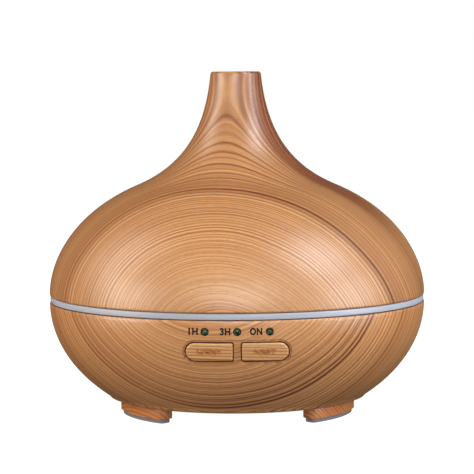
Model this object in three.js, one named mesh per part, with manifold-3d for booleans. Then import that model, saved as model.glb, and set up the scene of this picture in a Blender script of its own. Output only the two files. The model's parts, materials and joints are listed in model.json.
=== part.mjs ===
// Ultrasonic essential oil diffuser: a lift-off onion-shaped cover over a translucent water tank,
// standing in a round lower housing that holds the fan, the boards and the ultrasonic transducer.
// Millimetres, +Z up. The origin is the centre of the footprint, on the plane of the rubber pads.
// -Y is the front, where the two buttons are; azimuths are degrees from the front towards +X.
// Heights are measured from a datum LIFT above the pads' plane, and add() puts each piece LIFT higher.
import * as THREE from "three";
import { mergeVertices } from "three/addons/utils/BufferGeometryUtils.js";
import Module from "manifold-3d";

const wasm = await Module();
wasm.setup();

// ---------- driving dimensions ----------
const BODY_R = 84; // widest radius, at the light band
const LIFT = 1.2; // height of the datum above the plane of the rubber pads
const HEIGHT = 151; // spout mouth
const SEAM_LOW = 48.7; // top edge of the lower housing
const SEAM_HIGH = 51.8; // bottom edge of the cover
const SPOUT_R = 11.3; // outer radius of the spout mouth
const MOUTH_R = 7.8; // bore of the spout mouth
const UNDERSIDE = 5.6; // flat bottom of the housing and of the base plate
const WALL = 2.1; // wood-grain shells
const GAP = 0.2; // clearance between pieces that rest on each other
const LATHE_STEPS = 36; // facets round a shell
const SMALL_STEPS = 16; // facets round a small turned piece
const SCREW_STEPS = 8; // facets round a screw

// Tank, chimney and transducer
const FLANGE_R = 83.4;
const FLANGE_TOP = SEAM_HIGH - GAP;
const FLANGE_BOTTOM = SEAM_LOW + GAP;
const COLLAR_TOP = 60;
const COLLAR_R = 64.2; // outside of the upright collar that the cover drains into
const TANK_WALL = 2;
const AIR_TURN = 30; // the fan, its duct and the chimney stand between two feet, on this turn from +X
const CHIMNEY = { at: 45, width: 22, depth: 13, wall: 1.6, corner: 4, bottom: 22.4, top: 62 };
const PIEZO = { radius: 10, thick: 1, z: 17.9, hole: 8.2 };
const POCKET = { inner: 12.4, outer: 16, bottom: 16.8, top: 19.8 };
const RETAINER = { bottom: 14.8, thick: 1.8, screwAt: 19.5 };

// Base plate, feet and fan
const PLATE = { radius: 53.4, thick: 2.2 };
const PLATE_TOP = UNDERSIDE + PLATE.thick;
const POST_AT = 36; // radius of the three screw posts, inboard of the feet
const THIRDS = [-60, 60, 180]; // azimuths of the feet and of everything else that comes in threes
const FOOT = { inner: 45, outer: 53, halfSpan: 22.2, corner: 2.5, pegTurn: 12 };
const PEG_AT = (FOOT.inner + FOOT.outer) / 2;
const PAD = { inner: 46, outer: 52, halfSpan: 21, corner: 1.8, thick: 1.8 };
const FAN = { at: 34, side: 35, bottom: 9.8, thick: 10, bore: 16.4, hole: 14.5, hub: 7.5 };

// Control panel
const BUTTON = { inner: 1.9, outer: 21.4, low: 31.5, high: 39.3, proud: 0.55, slot: 0.35 };
const RECESS = { margin: 1.2, depth: 0.6 };
const INDICATOR = { pitch: 13.4, z: 44.1, radius: 1.5, hole: 1.75 };
const PANEL_FRONT = -68; // front face of the panel board
const SWITCH = { x: 11.7, side: 6, thick: 3.1, plunger: 1.7 };
const BUTTON_BACK = -73.6; // front of the button's retaining flange
const PLUNGER_TIP = -71.9;

// Mist guide under the cover
const GUIDE = { tube: 9, wall: 1.5, skirt: 60.3, bottom: 54.2, top: HEIGHT - 2.2, steps: 28 };
const LUG = { at: 40, seat: 82, radius: 4.6 };

// Boards in the base
const BOARD = { left: -50, right: -11, front: -12, back: 26, bottom: 10.5, thick: 1.6 };
const BOARD_TOP = BOARD.bottom + BOARD.thick;
const BOARD_SCREWS = [
  [BOARD.left + 5, -7],
  [BOARD.right - 5, 21],
];
const JACK = { front: 61.2, back: 50.8, z: 18, half: 5, recess: 5.8, pin: 1.05 };
const LIGHT_BOARD = { inner: 66, outer: 73, bottom: 43.8, thick: 1.2, gap: 55 };

// ---------- materials ----------
const material = (color, roughness, metalness = 0) =>
  new THREE.MeshStandardMaterial({ color, roughness, metalness });
const WOOD = material(0xc98f5f, 0.5);
const TRANSLUCENT = material(0xd3d6df, 0.35);
const WHITE = material(0xeceae4, 0.45);
const BLACK = material(0x1b1b1d, 0.5);
const RUBBER = material(0x6f7076, 0.85);
const SILICONE = material(0xb9c4c6, 0.6);
const STEEL = material(0xb4b6b8, 0.35, 1);
const CERAMIC = material(0xc9cbcd, 0.3);
const BOARD_GREEN = material(0x1f6b3a, 0.55);
const GREEN_LENS = material(0x1d5a2c, 0.25);
const LED_WHITE = material(0xf2efd8, 0.4);
const COPPER = material(0x9a5a30, 0.4, 0.6);
const CABLE = material(0x2a2a2c, 0.6);

// ---------- geometry helpers ----------
const radians = THREE.MathUtils.degToRad;
const point = ([r, z]) => new THREE.Vector2(r, z);

/** A closed geometry as a solid, facing out. */
function solid(geometry) {
  const bare = geometry.clone();
  bare.deleteAttribute("normal");
  bare.deleteAttribute("uv");
  const merged = mergeVertices(bare, 1e-4);
  const triVerts = new Uint32Array(merged.index.array);
  const vertProperties = merged.attributes.position.array;
  const made = new wasm.Manifold(new wasm.Mesh({ numProp: 3, vertProperties, triVerts }));
  if (made.volume() > 0) return made;
  for (let i = 0; i < triVerts.length; i += 3) {
    [triVerts[i + 1], triVerts[i + 2]] = [triVerts[i + 2], triVerts[i + 1]];
  }
  return new wasm.Manifold(new wasm.Mesh({ numProp: 3, vertProperties, triVerts }));
}

/** A solid back as a geometry for a mesh, without the slivers that its cuts left. */
function geometryOf(body) {
  const mesh = body.simplify(0.01).getMesh();
  const made = new THREE.BufferGeometry();
  made.setAttribute("position", new THREE.BufferAttribute(mesh.vertProperties, 3));
  made.setIndex(new THREE.BufferAttribute(mesh.triVerts, 1));
  made.computeVertexNormals();
  return made;
}

const joined = (...bodies) => bodies.reduce((a, b) => a.add(b));
const cut = (body, ...tools) => tools.reduce((a, b) => a.subtract(b), body);

/** A solid of revolution about Z from a closed (radius, height) outline. */
function lathe(outline, steps = LATHE_STEPS) {
  const closed = [...outline, outline[0]].map((p) => (p.isVector2 ? p : point(p)));
  return solid(new THREE.LatheGeometry(closed, steps).rotateX(Math.PI / 2));
}

/** A solid of revolution that is filled to the axis, under an outline from its top to its bottom. */
function turned(outline, steps = LATHE_STEPS) {
  const top = outline[0][1] ?? outline[0].y;
  const bottom = outline.at(-1)[1] ?? outline.at(-1).y;
  const closed = [[0, top], ...outline, [0, bottom]].map((p) => (p.isVector2 ? p : point(p)));
  return solid(new THREE.LatheGeometry(closed, steps).rotateX(Math.PI / 2));
}

function cylinder(radius, low, high, x = 0, y = 0, steps = SMALL_STEPS) {
  const made = new THREE.CylinderGeometry(radius, radius, high - low, steps);
  return solid(made.rotateX(Math.PI / 2).translate(x, y, (low + high) / 2));
}

/** A cylinder along Y between two depths. */
function cylinderY(radius, front, back, x, z, steps = SMALL_STEPS) {
  const made = new THREE.CylinderGeometry(radius, radius, back - front, steps);
  return solid(made.translate(x, (front + back) / 2, z));
}

/** A box from its low corner to its high corner. */
function box([x0, y0, z0], [x1, y1, z1]) {
  const made = new THREE.BoxGeometry(x1 - x0, y1 - y0, z1 - z0);
  return solid(made.translate((x0 + x1) / 2, (y0 + y1) / 2, (z0 + z1) / 2));
}

/** A flat shape in X and Y, extruded up from low to high. */
function plate(shape, low, high, curveSegments = 8) {
  const made = new THREE.ExtrudeGeometry(shape, { depth: high - low, bevelEnabled: false, curveSegments });
  return solid(made.translate(0, 0, low));
}

/** A shape in X and Z, extruded along Y from front to back. */
function prism(shape, front, back, curveSegments = 6) {
  const made = new THREE.ExtrudeGeometry(shape, { depth: back - front, bevelEnabled: false, curveSegments });
  return solid(made.rotateX(Math.PI / 2).translate(0, back, 0));
}

/** Points on a chain of cubic Bezier curves: start, then two handles and an end for each curve. */
function bezierChain(points, steps) {
  const chain = [point(points[0])];
  for (let i = 0; i + 3 < points.length; i += 3) {
    const curve = new THREE.CubicBezierCurve(...points.slice(i, i + 4).map(point));
    chain.push(...curve.getPoints(steps).slice(1));
  }
  return chain;
}

/** An outline moved sideways by a distance, to its left as it is walked. */
function offset(outline, distance) {
  return outline.map((p, i) => {
    const before = outline[Math.max(i - 1, 0)];
    const after = outline[Math.min(i + 1, outline.length - 1)];
    const along = after.clone().sub(before).normalize();
    return new THREE.Vector2(p.x + along.y * distance, p.y - along.x * distance);
  });
}

/** A rectangle with rounded corners about the origin. */
function roundedRectangle(width, height, radius) {
  const [w, h] = [width / 2, height / 2];
  const shape = new THREE.Shape();
  shape.moveTo(-w + radius, -h);
  shape.lineTo(w - radius, -h);
  shape.absarc(w - radius, -h + radius, radius, -Math.PI / 2, 0);
  shape.absarc(w - radius, h - radius, radius, 0, Math.PI / 2);
  shape.absarc(-w + radius, h - radius, radius, Math.PI / 2, Math.PI);
  shape.absarc(-w + radius, -h + radius, radius, Math.PI, 1.5 * Math.PI);
  return shape;
}

/** A sector of a ring about the origin, centred on +X, with rounded corners. */
function ringSector(inner, outer, halfSpan, corner) {
  const half = radians(halfSpan);
  const shape = new THREE.Shape();
  const centre = (r, side) => {
    const turn = side * (half - Math.asin(corner / r));
    return [r * Math.cos(turn), r * Math.sin(turn), turn];
  };
  const [ax, ay, a] = centre(outer - corner, -1);
  const [bx, by, b] = centre(outer - corner, 1);
  const [cx, cy, c] = centre(inner + corner, 1);
  const [dx, dy, d] = centre(inner + corner, -1);
  shape.absarc(ax, ay, corner, -half - Math.PI / 2, a);
  shape.absarc(0, 0, outer, a, b);
  shape.absarc(bx, by, corner, b, half + Math.PI / 2);
  shape.absarc(cx, cy, corner, half + Math.PI / 2, c + Math.PI);
  shape.absarc(0, 0, inner, c, d, true);
  shape.absarc(dx, dy, corner, d + Math.PI, 1.5 * Math.PI - half);
  return shape;
}

/** A round cable through hand-placed points. */
function cable(points, radius, steps) {
  const section = new THREE.Shape().absarc(0, 0, radius, 0, 2 * Math.PI);
  const extrudePath = new THREE.CatmullRomCurve3(points.map((p) => new THREE.Vector3(...p)));
  const made = new THREE.ExtrudeGeometry(section, { steps, extrudePath, curveSegments: 3 });
  return geometryOf(solid(made));
}

/** The point at an azimuth and a radius. */
function polar(azimuth, radius) {
  return { x: radius * Math.sin(radians(azimuth)), y: -radius * Math.cos(radians(azimuth)) };
}

/** One solid at each of the three azimuths, at a radius. */
function threefold(radius, make) {
  return joined(...THIRDS.map((azimuth) => polar(azimuth, radius)).map(({ x, y }) => make(x, y)));
}

/** A solid modelled along +X, turned to where the fan stands. */
const toAirSide = (body) => body.rotate([0, 0, AIR_TURN]);

const group = new THREE.Group();

/** Adds a named mesh, from a solid or from a geometry, where its position and turn about Z put it. */
function add(name, shape, look, { x = 0, y = 0, z = 0, turn = 0 } = {}) {
  const mesh = new THREE.Mesh(shape.isBufferGeometry ? shape : geometryOf(shape), look);
  mesh.name = name;
  mesh.position.set(x, y, z + LIFT);
  mesh.rotation.z = radians(turn);
  group.add(mesh);
}

/** A pan-head screw with its head's seat at the origin and its shank pointing up. */
function screw(headRadius, headHeight, shankRadius, length) {
  return lathe(
    [
      [0, -headHeight],
      [headRadius * 0.7, -headHeight],
      [headRadius, -headHeight * 0.45],
      [headRadius, 0],
      [shankRadius, 0],
      [shankRadius, length - shankRadius],
      [0, length],
    ],
    SCREW_STEPS,
  );
}

// ---------- outlines that several pieces share ----------
const coverOuter = bezierChain(
  [
    [SPOUT_R, HEIGHT],
    [14, 121.6],
    [26.5, 108.1],
    [44.7, 100.4],
    [75, 87.6],
    [BODY_R, 65.4],
    [BODY_R, SEAM_HIGH + 1.6],
  ],
  6,
);
const housingOuter = bezierChain(
  [
    [BODY_R, SEAM_LOW],
    [BODY_R, 31.9],
    [73, 11.9],
    [43, -0.84],
  ],
  9,
).filter((p) => p.y > UNDERSIDE + 0.6);
const guideOuter = bezierChain(
  [
    [GUIDE.tube, 128],
    [GUIDE.tube, 108],
    [18, 97],
    [32, 88],
    [50, 77],
    [GUIDE.skirt, 68],
    [GUIDE.skirt, 57],
  ],
  4,
);

// ---------- cover ----------
/** The wood-grain cover: dome, neck and spout, with three posts inside for the mist guide. */
function topCover() {
  const neckAndDome = coverOuter.slice(1);
  const inner = offset(neckAndDome, WALL).filter((p, i) => p.y < HEIGHT - 4 && i % 2 === 1);
  const shell = lathe([
    [MOUTH_R, HEIGHT - 1.8],
    [MOUTH_R, HEIGHT - 0.6],
    [MOUTH_R + 0.6, HEIGHT],
    [SPOUT_R - 1.1, HEIGHT],
    [SPOUT_R - 0.2, HEIGHT - 0.5],
    [SPOUT_R + 0.1, HEIGHT - 1.6],
    ...neckAndDome,
    [BODY_R - 0.8, SEAM_HIGH],
    [BODY_R - WALL - 0.3, SEAM_HIGH],
    ...inner.reverse(),
    [GUIDE.tube + 0.45, HEIGHT - 4],
    [GUIDE.tube + 0.45, HEIGHT - 1.8],
  ]);
  const underSkin = turned(offset(neckAndDome, 0.8), SMALL_STEPS);
  const posts = threefold(LUG.at, (x, y) => cylinder(3, LUG.seat + GAP, HEIGHT, x, y, SCREW_STEPS));
  const bores = threefold(LUG.at, (x, y) => cylinder(1.2, LUG.seat, LUG.seat + 11, x, y, SCREW_STEPS));
  return cut(joined(shell, posts.intersect(underSkin)), bores);
}

/** The white inner guide: a dome over the tank that gathers the mist into a tube up the neck. */
function mistGuide() {
  const inner = offset(guideOuter, GUIDE.wall);
  const shell = lathe(
    [
      [GUIDE.tube - GUIDE.wall, GUIDE.top],
      [GUIDE.tube, GUIDE.top],
      ...guideOuter,
      [GUIDE.skirt, GUIDE.bottom],
      [GUIDE.skirt - GUIDE.wall, GUIDE.bottom],
      ...inner.reverse(),
    ],
    GUIDE.steps,
  );
  const filled = turned(guideOuter, GUIDE.steps);
  const lugs = threefold(LUG.at, (x, y) => cylinder(LUG.radius, LUG.seat - 4, HEIGHT, x, y, 12));
  const seats = threefold(LUG.at, (x, y) => cylinder(3.4, LUG.seat, HEIGHT, x, y, 12));
  const holes = threefold(LUG.at, (x, y) => cylinder(1.6, LUG.seat - 9, LUG.seat + 1, x, y, SCREW_STEPS));
  const heads = threefold(LUG.at, (x, y) => cylinder(3, LUG.seat - 9, LUG.seat - 2, x, y, SCREW_STEPS));
  return cut(joined(shell, lugs.intersect(filled)), seats, holes, heads);
}

/** The umbrella that stops splashes from flying up the tube, hung from a ring by three legs. */
function splashBaffle() {
  const ring = lathe(
    [
      [6.3, 111],
      [7.9, 111],
      [7.6, 115],
      [6.3, 115],
    ],
    SMALL_STEPS,
  );
  const umbrella = turned(
    [
      [1.5, 99],
      [11, 95],
      [11, 93.6],
      [1.5, 97],
    ],
    SMALL_STEPS,
  );
  const leg = new THREE.BoxGeometry(1.6, 2, 18).translate(7, 0, 104);
  const legs = [30, 150, 270].map((a) => solid(leg.clone().rotateZ(radians(a))));
  return joined(ring, umbrella, ...legs);
}

function addCover() {
  add("top_cover", topCover(), WOOD);
  add("mist_guide", mistGuide(), WHITE);
  add("splash_baffle", splashBaffle(), WHITE);
  const guideScrew = screw(2.6, 1.6, 1, 8);
  THIRDS.forEach((azimuth, i) => {
    const place = { ...polar(azimuth, LUG.at), z: LUG.seat - 2 - GAP };
    add(`guide_screw_${i + 1}`, guideScrew, STEEL, place);
  });
}

// ---------- water tank ----------
const tankInner = bezierChain(
  [
    [18, 24.5],
    [44, 25.5],
    [60, 25],
    [COLLAR_R - TANK_WALL, COLLAR_TOP - 20],
  ],
  5,
);
const waterSpace = turned([...[...tankInner].reverse(), [14.5, 23]]);

/** The chimney's outline in X and Y, grown on every side, as a solid between two heights. */
function chimneyBlock(grow, low, high) {
  const { at, width, depth, corner } = CHIMNEY;
  const outline = roundedRectangle(depth + 2 * grow, width + 2 * grow, corner + grow);
  return plate(outline, low, high, 3).translate([at, 0, 0]);
}

/** The rectangular tube through the tank's floor that carries the fan's air above the water. */
function airChimney() {
  const { wall, bottom, top } = CHIMNEY;
  return toAirSide(cut(chimneyBlock(0, bottom, top), chimneyBlock(-wall, bottom - 1, top + 1)));
}

/** The translucent tank: bowl, collar, the flange that shows as the light band, and screw posts. */
function waterTank() {
  const outer = offset(tankInner, TANK_WALL);
  const bowl = lathe([
    [PIEZO.hole, POCKET.top],
    [PIEZO.hole, 21.6],
    [14.5, 21.6],
    ...tankInner,
    [COLLAR_R - TANK_WALL, COLLAR_TOP],
    [COLLAR_R, COLLAR_TOP],
    [COLLAR_R, FLANGE_TOP],
    [FLANGE_R - 0.5, FLANGE_TOP],
    [FLANGE_R, FLANGE_TOP - 0.4],
    [FLANGE_R, FLANGE_BOTTOM + 0.4],
    [FLANGE_R - 0.5, FLANGE_BOTTOM],
    [COLLAR_R + 1, FLANGE_BOTTOM],
    ...outer.slice(1).reverse(),
    [18.5, 22.4],
    [POCKET.outer, 20.6],
    [POCKET.outer, POCKET.bottom],
    [POCKET.inner, POCKET.bottom],
    [POCKET.inner, POCKET.top],
  ]);
  const posts = threefold(POST_AT, (x, y) => cylinder(3.6, PLATE_TOP + GAP, 27, x, y, SCREW_STEPS));
  const bores = threefold(POST_AT, (x, y) => cylinder(1.6, 0, 21, x, y, SCREW_STEPS));
  const lugs = [-1, 1].map((s) => cylinder(2.9, POCKET.bottom, 25, 0, s * RETAINER.screwAt, SCREW_STEPS));
  const lugBores = [-1, 1].map((s) => cylinder(1.15, 10, 22.4, 0, s * RETAINER.screwAt, SCREW_STEPS));
  const below = cut(joined(posts, ...lugs), waterSpace);
  const chimneyHole = toAirSide(chimneyBlock(GAP, 20, 40));
  return cut(joined(bowl, below), chimneyHole, bores, ...lugBores);
}

/** The soft square sleeve that leads the fan's air up to the chimney, shaped to the tank's underside. */
function airDuct(tank) {
  const low = FAN.bottom + FAN.thick + GAP;
  const outside = plate(roundedRectangle(FAN.side, FAN.side, 2), low, 30, 2);
  const inside = plate(roundedRectangle(FAN.side - 3, FAN.side - 3, 1), 10, 31, 2);
  const spigot = chimneyBlock(GAP, CHIMNEY.bottom - GAP, 40);
  const sleeve = cut(cut(outside, inside).translate([FAN.at, 0, 0]), spigot);
  const lowered = tank.translate([0, 0, -2 * GAP]);
  const pieces = cut(toAirSide(sleeve), waterSpace, tank, lowered).decompose();
  return pieces.reduce((a, b) => (a.volume() > b.volume() ? a : b));
}

/** The silicone ring that grips the transducer's rim. */
function piezoSeal() {
  const [low, high] = [PIEZO.z - GAP, PIEZO.z + PIEZO.thick + GAP];
  return lathe(
    [
      [8.6, POCKET.bottom + 0.1],
      [POCKET.inner - GAP, POCKET.bottom + 0.1],
      [POCKET.inner - GAP, POCKET.top - GAP],
      [8.6, POCKET.top - GAP],
      [8.6, high],
      [PIEZO.radius + GAP, high],
      [PIEZO.radius + GAP, low],
      [8.6, low],
    ],
    SMALL_STEPS,
  );
}

/** The plate that clamps the seal up into the tank's pocket, with two ears. */
function piezoRetainer() {
  const { bottom, thick, screwAt } = RETAINER;
  const ring = cylinder(15.6, bottom, bottom + thick, 0, 0, SMALL_STEPS);
  const bridge = box([-3.4, -screwAt, bottom], [3.4, screwAt, bottom + thick]);
  const ears = [-1, 1].map((s) => cylinder(3.4, bottom, bottom + thick, 0, s * screwAt, 16));
  const holes = [-1, 1].map((s) => cylinder(1.5, 0, 20, 0, s * screwAt, SCREW_STEPS));
  return cut(joined(ring, bridge, ...ears), cylinder(7, 0, 20), ...holes);
}

function addTank() {
  const tank = waterTank();
  add("water_tank", tank, TRANSLUCENT);
  add("air_chimney", airChimney(), TRANSLUCENT);
  add("air_duct", airDuct(tank), RUBBER);
  add("piezo_disc", cylinder(PIEZO.radius, PIEZO.z, PIEZO.z + PIEZO.thick), CERAMIC);
  add("piezo_seal", piezoSeal(), SILICONE);
  add("piezo_retainer", piezoRetainer(), STEEL);
  const retainerScrew = screw(2.3, 1.2, 0.95, 6.5);
  [-1, 1].forEach((side, i) => {
    const place = { y: side * RETAINER.screwAt, z: RETAINER.bottom - 0.1 };
    add(`retainer_screw_${i + 1}`, retainerScrew, STEEL, place);
  });
}

// ---------- lower housing, base plate and feet ----------
/** Outline of one button in X and Z: round outside, nearly square beside the bridge. */
function buttonShape(side, grow) {
  const near = BUTTON.inner - grow;
  const far = BUTTON.outer + grow;
  const low = BUTTON.low - grow;
  const high = BUTTON.high + grow;
  const round = (high - low) / 2;
  const shape = new THREE.Shape();
  const x = (value) => side * value;
  shape.moveTo(x(near), low);
  shape.lineTo(x(far - round), low);
  const clockwise = side < 0;
  const start = -Math.PI / 2;
  shape.absarc(x(far - round), (low + high) / 2, round, start, start + side * Math.PI, clockwise);
  shape.lineTo(x(near), high);
  return shape;
}

/** The capsule outline round both buttons. */
function recessShape() {
  const { margin } = RECESS;
  const height = BUTTON.high - BUTTON.low + 2 * margin;
  const shape = roundedRectangle(2 * (BUTTON.outer + margin), height, height / 2 - 0.01);
  const middle = (BUTTON.high + BUTTON.low) / 2;
  return new THREE.Shape(shape.getPoints(6).map((p) => new THREE.Vector2(p.x, p.y + middle)));
}

/** The wood-grain lower housing, with its button, indicator and socket openings. */
function lowerHousing() {
  const inner = offset(housingOuter, WALL).filter((p, i) => p.y > 11 && i % 2 === 1);
  const ledge = { inner: 52.2, low: PLATE_TOP + GAP, high: PLATE_TOP + 1.7 };
  const shell = lathe([
    ...housingOuter,
    [56.2, UNDERSIDE + 0.2],
    [55.4, UNDERSIDE],
    [PLATE.radius + 0.3, UNDERSIDE],
    [PLATE.radius + 0.3, ledge.low],
    [ledge.inner, ledge.low],
    [ledge.inner, ledge.high],
    [57.5, ledge.high],
    ...inner.reverse(),
    [BODY_R - WALL, SEAM_LOW],
  ]);
  const bosses = [-1, 1].map((s) => cylinderY(2.8, -85, PANEL_FRONT - GAP, s * 23, 43.5, 16));
  const collar = cylinderY(JACK.recess + 1.7, JACK.front + GAP, 80, 0, JACK.z);
  const outerSolid = turned([[BODY_R, SEAM_LOW], ...housingOuter, [55.4, UNDERSIDE]]);
  const added = joined(...bosses, collar).intersect(inset(0.8));
  const capsule = cut(prism(recessShape(), -90, -60), inset(RECESS.depth)).intersect(outerSolid);
  const leftHole = prism(buttonShape(-1, BUTTON.slot), -90, -60);
  const rightHole = prism(buttonShape(1, BUTTON.slot), -90, -60);
  const eyes = [-1, 0, 1].map((k) => {
    return cylinderY(INDICATOR.hole, -90, -70, k * INDICATOR.pitch, INDICATOR.z, 16);
  });
  const pilots = [-1, 1].map((s) => cylinderY(1.1, -76, -60, s * 23, 43.5, SCREW_STEPS));
  const socket = cylinderY(JACK.recess, 50, 90, 0, JACK.z);
  return cut(joined(shell, added), capsule, leftHole, rightHole, ...eyes, ...pilots, socket);
}

/** The filled housing shape, pulled in by a distance. */
function inset(distance) {
  const outline = offset(housingOuter, distance);
  return turned([[outline[0].x, SEAM_LOW], ...outline.slice(1)]);
}

/** The round base plate with the fan's intake grille, screw holes and board standoffs. */
function basePlate() {
  const disc = cylinder(PLATE.radius, UNDERSIDE, PLATE_TOP, 0, 0, LATHE_STEPS);
  const standoffs = BOARD_SCREWS.map(([x, y]) => {
    return cylinder(2.8, UNDERSIDE + 1, BOARD.bottom - 0.1, x, y, SCREW_STEPS);
  });
  const standoffBores = BOARD_SCREWS.map(([x, y]) => {
    return cylinder(1.15, PLATE_TOP - 1.2, 20, x, y, SCREW_STEPS);
  });
  const pins = [-1, 1].map((s) => {
    return cylinder(1.3, UNDERSIDE + 1, FAN.bottom + 5, FAN.at + s * FAN.hole, -s * FAN.hole, SCREW_STEPS);
  });
  const rest = box([FAN.at - 17, -3, UNDERSIDE + 1], [FAN.at - 14.8, 3, FAN.bottom - 0.1]);
  const postHoles = threefold(POST_AT, (x, y) => cylinder(1.8, 0, 20, x, y, SCREW_STEPS));
  const postSeats = threefold(POST_AT, (x, y) => cylinder(3.3, 0, UNDERSIDE + 1, x, y, 12));
  const fanHoles = [-1, 1].flatMap((s) => [
    cylinder(1.7, 0, 20, FAN.at + s * FAN.hole, s * FAN.hole, SCREW_STEPS),
    cylinder(2.9, 0, UNDERSIDE + 0.9, FAN.at + s * FAN.hole, s * FAN.hole, 12),
  ]);
  const pegHoles = THIRDS.flatMap((azimuth) => [-1, 1].map((s) => {
    const { x, y } = polar(azimuth + s * FOOT.pegTurn, PEG_AT);
    return cylinder(1.9, 0, 20, x, y, SCREW_STEPS);
  }));
  const body = joined(disc, ...standoffs, toAirSide(joined(...pins, rest)));
  const fanCuts = toAirSide(joined(grille(), ...fanHoles));
  return cut(body, fanCuts, postHoles, postSeats, ...pegHoles, ...standoffBores);
}

/** The intake's ring slots, left whole along two crossed spokes. */
function grille() {
  const rings = [4, 8, 12].map((r) => {
    const tall = cylinder(r + 2.4, 0, 20, FAN.at, 0, SMALL_STEPS);
    return cut(tall, cylinder(r, -1, 21, FAN.at, 0, SMALL_STEPS));
  });
  const across = box([FAN.at - 20, -1.1, -1], [FAN.at + 20, 1.1, 21]);
  const along = box([FAN.at - 1.1, -20, -1], [FAN.at + 1.1, 20, 21]);
  return cut(joined(...rings), across, along);
}

/** One curved wood-grain foot, modelled on +X, with two pegs up into the base plate. */
function foot() {
  const arc = ringSector(FOOT.inner, FOOT.outer, FOOT.halfSpan, FOOT.corner);
  const block = plate(arc, PAD.thick + 0.1 - LIFT, UNDERSIDE - 0.1, 4);
  const pegs = [-1, 1].map((s) => {
    const turn = radians(s * FOOT.pegTurn);
    const [x, y] = [PEG_AT * Math.cos(turn), PEG_AT * Math.sin(turn)];
    return cylinder(1.55, UNDERSIDE - 1, PLATE_TOP - 0.1, x, y, SCREW_STEPS);
  });
  return joined(block, ...pegs);
}

function addBase() {
  add("lower_housing", lowerHousing(), WOOD);
  add("base_plate", basePlate(), BLACK);
  const footSolid = foot();
  const padArc = ringSector(PAD.inner, PAD.outer, PAD.halfSpan, PAD.corner);
  const padSolid = plate(padArc, -LIFT, PAD.thick - LIFT, 3);
  const baseScrew = screw(2.9, 1.5, 1.35, 13);
  ["left", "right", "rear"].forEach((side, i) => {
    const turn = THIRDS[i] - 90;
    add(`foot_${side}`, footSolid, WOOD, { turn });
    add(`foot_pad_${side}`, padSolid, RUBBER, { turn });
    add(`base_screw_${side}`, baseScrew, STEEL, { ...polar(THIRDS[i], POST_AT), z: UNDERSIDE + 0.9 });
  });
}

// ---------- fan ----------
/** The fan's square frame, with a bearing tube on four struts. */
function fanFrame() {
  const { side, bottom, thick, bore, hole } = FAN;
  const body = plate(roundedRectangle(side, side, 3), bottom, bottom + thick, 2);
  const tunnel = cylinder(bore, bottom - 1, bottom + thick + 1, 0, 0, 24);
  const floor = cylinder(8, bottom, bottom + 1, 0, 0, SMALL_STEPS);
  const struts = [0, 90].map((a) => {
    const bar = new THREE.BoxGeometry(2 * bore + 1, 2, 1).rotateZ(radians(a + 45));
    return solid(bar.translate(0, 0, bottom + 0.5));
  });
  const bearing = cylinder(2.3, bottom, bottom + 4.6, 0, 0, 12);
  const corners = [-hole, hole].flatMap((x) => [-hole, hole].map((y) => [x, y]));
  const holes = corners.map(([x, y]) => cylinder(1.6, 0, 30, x, y, SCREW_STEPS));
  const shaftHole = cylinder(1.2, bottom + 0.6, bottom + 9, 0, 0, 12);
  return cut(joined(cut(body, tunnel), floor, ...struts, bearing), ...holes, shaftHole);
}

/** The rotor: a cupped hub with its shaft and seven pitched blades. */
function fanRotor() {
  const { bottom, hub, bore } = FAN;
  const top = bottom + 9.2;
  const cup = lathe(
    [
      [hub - 1.1, bottom + 1.5],
      [hub, bottom + 1.5],
      [hub, top - 0.6],
      [hub - 0.6, top],
      [0, top],
      [0, bottom + 1],
      [1, bottom + 1],
      [1, top - 1.2],
      [hub - 1.1, top - 1.2],
    ],
    SMALL_STEPS,
  );
  const length = bore - 0.8 - (hub - 0.5);
  const blade = new THREE.BoxGeometry(length, 9, 0.9)
    .rotateX(radians(38))
    .translate(hub - 0.5 + length / 2, 0, (bottom + 1.5 + top) / 2);
  const blades = Array.from({ length: 7 }, (_, i) => {
    return solid(blade.clone().rotateZ((i * 2 * Math.PI) / 7));
  });
  return joined(cup, ...blades);
}

/** The wound stator between the bearing tube and the hub's cup. */
function fanStator() {
  const { bottom } = FAN;
  const core = cylinder(5.9, bottom + 2, bottom + 6.6, 0, 0, 12);
  const slots = [0, 45, 90, 135].map((a) => {
    const slot = new THREE.BoxGeometry(13, 1.4, 3).rotateZ(radians(a)).translate(0, 0, bottom + 6);
    return solid(slot);
  });
  return cut(core, cylinder(2.6, bottom, bottom + 9, 0, 0, 12), ...slots);
}

function addFan() {
  const [c, s] = [Math.cos(radians(AIR_TURN)), Math.sin(radians(AIR_TURN))];
  const at = { x: FAN.at * c, y: FAN.at * s, turn: AIR_TURN };
  add("fan_frame", fanFrame(), BLACK, at);
  add("fan_stator", fanStator(), COPPER, at);
  add("fan_rotor", fanRotor(), BLACK, at);
  const fanScrew = screw(2.6, 1.2, 1.25, 9.5);
  [-1, 1].forEach((side, i) => {
    const [u, v] = [FAN.at + side * FAN.hole, side * FAN.hole];
    const place = { x: u * c - v * s, y: u * s + v * c, z: UNDERSIDE + 0.8 };
    add(`fan_screw_${i + 1}`, fanScrew, STEEL, place);
  });
}

// ---------- control panel ----------
/** One button: a face that follows the housing, a retaining flange and a nib for its switch. */
function button(side) {
  const face = prism(buttonShape(side, 0), -90, BUTTON_BACK).intersect(inset(-BUTTON.proud));
  const flange = prism(buttonShape(side, 0.9), BUTTON_BACK, BUTTON_BACK + 1);
  const middle = (BUTTON.low + BUTTON.high) / 2;
  const nib = cylinderY(1.4, BUTTON_BACK + 0.5, PLUNGER_TIP - 0.3, side * SWITCH.x, middle, 12);
  return joined(face, flange, nib);
}

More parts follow.
